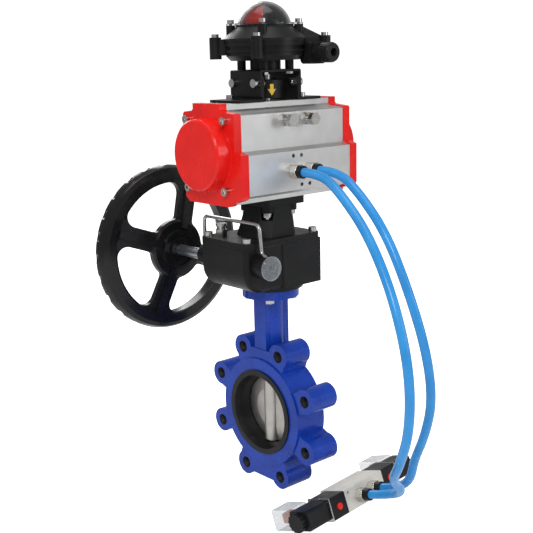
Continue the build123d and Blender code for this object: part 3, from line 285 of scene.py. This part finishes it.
def make_materials():
    """Every material by name: the record's slots, and a few finishes for single pieces."""
    return {
        "blue_paint": paint("blue_paint", (0.006, 0.040, 0.33), (0.009, 0.056, 0.43), 0.24, 900, 0.00003,
                            coat=0.12, gloss=0.22, scuff=(0.05, 0.12, 0.50)),
        "black_paint": paint("black_paint", (0.0085, 0.0088, 0.0095), (0.013, 0.013, 0.014), 0.34, 1500,
                             0.00003, gloss=0.16, scuff=(0.035, 0.035, 0.037)),
        "black_gloss": paint("black_gloss", (0.006, 0.006, 0.0065), (0.010, 0.010, 0.011), 0.20, 900, 0.00002,
                             coat=0.10, gloss=0.26, scuff=(0.03, 0.03, 0.03)),
        "red_paint": paint("red_paint", (0.74, 0.010, 0.007), (0.83, 0.014, 0.010), 0.22, 700, 0.00003,
                           coat=0.12, gloss=0.25, scuff=(0.88, 0.08, 0.06)),
        "red_plastic": paint("red_plastic", (0.70, 0.02, 0.015), (0.80, 0.03, 0.02), 0.28, 1200, 0.00001),
        "brushed_aluminium": metal("brushed_aluminium", (0.56, 0.56, 0.555), (0.62, 0.62, 0.615), 0.40, 0,
                                   0.00002),
        "machined_aluminium": metal("machined_aluminium", (0.62, 0.62, 0.63), (0.72, 0.72, 0.73), 0.32, 0),
        "rubber_black": paint("rubber_black", (0.008, 0.008, 0.009), (0.014, 0.014, 0.015), 0.38, 1200,
                              0.00004, gloss=0.22),
        "stainless": metal("stainless", (0.50, 0.49, 0.47), (0.62, 0.61, 0.59), 0.22, None, 0.00001),
        "disc_steel": metal("disc_steel", (0.50, 0.48, 0.45), (0.60, 0.58, 0.55), 0.42, 2, 0.00004),
        "steel": metal("steel", (0.34, 0.34, 0.35), (0.42, 0.42, 0.43), 0.34, 2),
        "zinc": metal("zinc", (0.55, 0.59, 0.64), (0.72, 0.76, 0.80), 0.30, 1, 0.00003),
        "bronze": metal("bronze", (0.46, 0.32, 0.14), (0.56, 0.41, 0.20), 0.34, 2),
        "nickel": metal("nickel", (0.46, 0.44, 0.41), (0.58, 0.56, 0.52), 0.20, None, 0.00001),
        "black_plastic": paint("black_plastic", (0.008, 0.008, 0.009), (0.013, 0.013, 0.014), 0.36, 1800,
                               0.00003, gloss=0.20),
        "tube_blue": paint("tube_blue", (0.030, 0.27, 0.66), (0.040, 0.32, 0.74), 0.22, 500, 0.00001,
                           gloss=0.35),
        "clear": clear("clear", (0.035, 0.036, 0.038), 0.03, 0.22, 0.85),
        "smoke": clear("smoke", (0.50, 0.54, 0.57), 0.06, 0.30, 0.90),
        "indicator_black": paint("indicator_black", (0.006, 0.006, 0.007), (0.010, 0.010, 0.011), 0.22, 1500,
                                 0.00002, gloss=0.3),
        "white_body": metal("white_body", (0.62, 0.60, 0.55), (0.72, 0.70, 0.64), 0.5, 0, 0.00002,
                            metallic=0.35),
        "paper": paint("paper", (0.16, 0.16, 0.15), (0.24, 0.24, 0.22), 0.8, 900, 0.00004),
        "yellow": paint("yellow", (0.78, 0.50, 0.06), (0.86, 0.58, 0.10), 0.4, 1200, 0.00001),
        "orange": paint("orange", (0.55, 0.14, 0.02), (0.65, 0.20, 0.04), 0.4, 1200, 0.00001),
        # thread: dark and light bands of painted shade and painted highlight
        "thread": thread_painted_shading("thread", (0.015, 0.015, 0.016), (0.10, 0.10, 0.11), 1.5 * MM),
    }


# ---------------------------------------------------------------- cords
# route points in mm, the same as those of the CAD tubes
LEFT_RUN = [(-12, -72, 289), (-12, -99.2, 289), (-24, -138.2, 273.5), (-36.8, -188.6, 238.6),
            (-49.2, -232.1, 184.1), (-54.8, -257.1, 119.8), (-50.8, -254.7, 58.3), (-35.7, -229.1, 9.3),
            (-10.5, -197, -25), (22.8, -183.7, -52.8), (37.8, -156.8, -71.6), (36.03, -124.25, -82.23)]
RIGHT_RUN = [(12, -72, 289), (12, -100.8, 289), (2.3, -138.3, 272.1), (-2.2, -179.8, 235.5),
             (-2.9, -210.7, 180.3), (3.9, -229.1, 119.8), (15.5, -228.4, 64.2), (28.4, -208.7, 16.8),
             (42.1, -182.8, -23.3), (56, -166.6, -56.2), (59.19, -145.56, -73.89), (57.96, -122.78, -81.35)]


def make_tube(name, node, run, mats):
    """One air tube, from its port on the actuator to its fitting on the solenoid valve."""
    curve = bpy.data.curves.new(name, "CURVE")
    curve.dimensions = "3D"
    spline = curve.splines.new("NURBS")
    spline.points.add(len(run) - 1)
    for point, place in zip(spline.points, run):
        point.co = (*(v * MM for v in place), 1)
    spline.order_u = 3
    spline.use_endpoint_u = True
    spline.resolution_u = 12
    curve.bevel_depth = TUBE_R
    curve.bevel_resolution = 8
    curve.use_fill_caps = True
    obj = bpy.data.objects.new(name, curve)
    bpy.context.collection.objects.link(obj)
    curve.materials.append(mats["tube_blue"])
    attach(obj, "frame")
    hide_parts(node)


# ---------------------------------------------------------------- refined CAD shapes
SLOT_OF = {s["node"]: s.get("material_slot", s["node"]) for s in frame["record"]["subparts"]}
BODY_OF = {node: body for body, nodes in frame["record"]["behaviour"]["bodies"].items() for node in nodes}
MERGE_DISTANCE = 2e-6
EDGE_WIDTHS_MM = {
    "valve_body": 1.2, "gearbox_housing": 1.0, "gearbox_cover": 0.8, "actuator_body": 0.4, "end_caps": 1.4,
    "switchbox_base": 0.6, "switchbox_lid": 0.6, "bracket_lower": 0.4, "bracket_upper": 0.4,
    "solenoid_body": 0.5, "pilot_blocks": 0.5, "solenoid_coils": 0.6, "coil_connectors": 0.6,
    "tube_fittings": 0.4, "fitting_collars": 0.5, "eccentric_sleeves": 0.6, "seat_liner": 0.6,
    "handwheel": 1.2,
}
FINISHES = {"handwheel": "black_gloss"}


def shade(obj, angle=35):
    """Smooth shading, with a hard edge wherever the faces turn by more than the angle in degrees."""
    for poly in obj.data.polygons:
        poly.use_smooth = True
    obj.data.set_sharp_from_angle(angle=math.radians(angle))


def refine(node, width, mats):
    """A copy of a CAD node with rounded edges, which stands for it."""
    bm = bmesh.new()
    bm.from_mesh(frame["nodes"][node].data)
    bmesh.ops.remove_doubles(bm, verts=bm.verts, dist=MERGE_DISTANCE)
    bmesh.ops.dissolve_limit(bm, angle_limit=math.radians(0.6), verts=bm.verts, edges=bm.edges)
    suffix = "_shell" if node.endswith("body") else "_body"
    obj = new_object(node + suffix, bm)
    obj.data.materials.append(mats[FINISHES.get(node, SLOT_OF[node])])
    bevel = obj.modifiers.new("edges", "BEVEL")
    bevel.width = width
    bevel.segments = 2
    bevel.limit_method = "ANGLE"
    bevel.angle_limit = math.radians(30)
    shade(obj, 40)
    weighted = obj.modifiers.new("normals", "WEIGHTED_NORMAL")
    weighted.keep_sharp = True
    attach(obj, BODY_OF[node])
    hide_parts(node)


def dress_nodes(mats):
    """The record's material on each CAD node, and a plated finish on the worm shaft."""
    for node, obj in frame["nodes"].items():
        if not obj.material_slots:
            obj.data.materials.append(mats[SLOT_OF[node]])
        for slot in obj.material_slots:
            slot.material = mats[SLOT_OF[node]]
    frame["nodes"]["worm_shaft"].material_slots[0].material = mats["zinc"]


# ---------------------------------------------------------------- added detail
def place(obj, mats, finish, body, slot):
    """Gives an added piece its material and the body that it rides on. Its slot argument is not used."""
    obj.data.materials.append(mats[finish])
    shade(obj)
    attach(obj, body)


def ring_stack(bm, centre, axis, profile, steps=32):
    """A turned surface round an axis from (distance along it, radius) pairs."""
    axis = Vector(axis).normalized()
    side = axis.orthogonal().normalized()
    other = axis.cross(side)
    rings = []
    for along, radius in profile:
        rings.append([bm.verts.new(Vector(centre) + axis * along + (
            side * math.cos(t) + other * math.sin(t)) * radius)
            for t in (2 * math.pi * k / steps for k in range(steps))])
    for low, high in zip(rings, rings[1:]):
        for k in range(steps):
            bm.faces.new((low[k], low[(k + 1) % steps], high[(k + 1) % steps], high[k]))


def lug_threads(mats):
    """The cut threads inside the eight lugs."""
    lugs, circle_r = 8, 80 * MM
    pitch, half, outer, root, crest = 2 * MM, 18.6 * MM, 6.98 * MM, 6.8 * MM, 6.35 * MM
    turns = int(2 * half / pitch)
    bm = bmesh.new()
    for k in range(lugs):
        angle = 2 * math.pi * (k + 0.5) / lugs
        centre = Vector((0, math.cos(angle), math.sin(angle))) * circle_r
        profile = [(-half, outer)]
        for turn in range(turns):
            start = -half + turn * pitch
            profile += [(start, root), (start + pitch / 2, crest)]
        profile += [(half, root), (half, outer), (-half, outer)]
        ring_stack(bm, centre, (1, 0, 0), profile)
    bmesh.ops.remove_doubles(bm, verts=bm.verts, dist=1e-6)
    bmesh.ops.recalc_face_normals(bm, faces=bm.faces)
    # the thread material paints shade and highlight in bands across these threads
    place(new_object("lug_threads", bm), mats, "thread", "frame", "blue_paint")


def coupling_arrow(mats):
    """A plain arrow plate on the coupling that shows which way it has turned."""
    radius, z_mid, facing = 19 * MM, 376 * MM, math.radians(-112)
    gap, thick = 0.05 * MM, 0.65 * MM
    outline = [(-2.0, 5.5), (2.0, 5.5), (2.0, 0), (4.6, 0), (0, -7.0), (-4.6, 0), (-2.0, 0)]
    bm = bmesh.new()
    layers = []
    for lift in (gap, gap + thick):
        layer = []
        for across, up in outline:
            angle = facing + across * MM / radius
            r = radius + lift
            layer.append(bm.verts.new((r * math.cos(angle), r * math.sin(angle), z_mid + up * MM)))
        layers.append(layer)
    bm.faces.new(layers[1])
    bm.faces.new(layers[0])
    for k in range(len(outline)):
        nxt = (k + 1) % len(outline)
        bm.faces.new((layers[0][k], layers[0][nxt], layers[1][nxt], layers[1][k]))
    bmesh.ops.recalc_face_normals(bm, faces=bm.faces)
    place(new_object("coupling_arrow", bm), mats, "yellow", "drive", "black_plastic")


def gland_ribs(mats):
    """Grip ribs round the cable gland's cap."""
    low, high = (Vector(v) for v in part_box("cable_gland"))
    centre_x, centre_z, radius = (low.x + high.x) / 2, 414 * MM, 10.45 * MM
    ribs = 18
    profile = ((-1.0, -0.2), (-0.6, 0.5), (0.6, 0.5), (1.0, -0.2))
    bm = bmesh.new()
    for k in range(ribs):
        t = 2 * math.pi * k / ribs
        out = Vector((math.cos(t), 0, math.sin(t)))
        side = Vector((-math.sin(t), 0, math.cos(t)))
        ends = []
        for y in (low.y + 3 * MM, low.y + 13.5 * MM):
            base = Vector((centre_x, y, centre_z)) + out * radius
            ends.append([bm.verts.new(base + side * s * MM + out * h * MM) for s, h in profile])
        bm.faces.new(reversed(ends[0]))
        bm.faces.new(ends[1])
        for a in range(4):
            b = (a + 1) % 4
            bm.faces.new((ends[0][a], ends[0][b], ends[1][b], ends[1][a]))
    bmesh.ops.recalc_face_normals(bm, faces=bm.faces)
    place(new_object("gland_ribs", bm), mats, "black_plastic", "frame", "black_plastic")


def connector_cores(mats):
    """The terminal blocks that show through the clear coil connectors."""
    along, behind = 79 * MM, 28 * MM
    for name, side in (("connector_core_left", -1), ("connector_core_right", 1)):
        bm = bmesh.new()
        bmesh.ops.create_cube(bm, size=1)
        centre = SOL_O + SOL_A * side * along + SOL_C * behind
        frame_axes = Matrix((SOL_A * 15 * MM, SOL_C * 16 * MM, SOL_B * 12 * MM)).transposed().to_4x4()
        bm.transform(Matrix.Translation(centre) @ frame_axes)
        bmesh.ops.bevel(bm, geom=bm.edges, offset=1.2 * MM, segments=2, affect="EDGES")
        place(new_object(name, bm), mats, "orange", "frame", "black_plastic")


make_camera()
MATS = make_materials()
make_tube("air_tube_left", "tube_left", LEFT_RUN, MATS)
make_tube("air_tube_right", "tube_right", RIGHT_RUN, MATS)
make_stage()
dress_nodes(MATS)
lug_threads(MATS)
coupling_arrow(MATS)
gland_ribs(MATS)
connector_cores(MATS)
for node_name, edge_mm in EDGE_WIDTHS_MM.items():
    refine(node_name, edge_mm * MM, MATS)
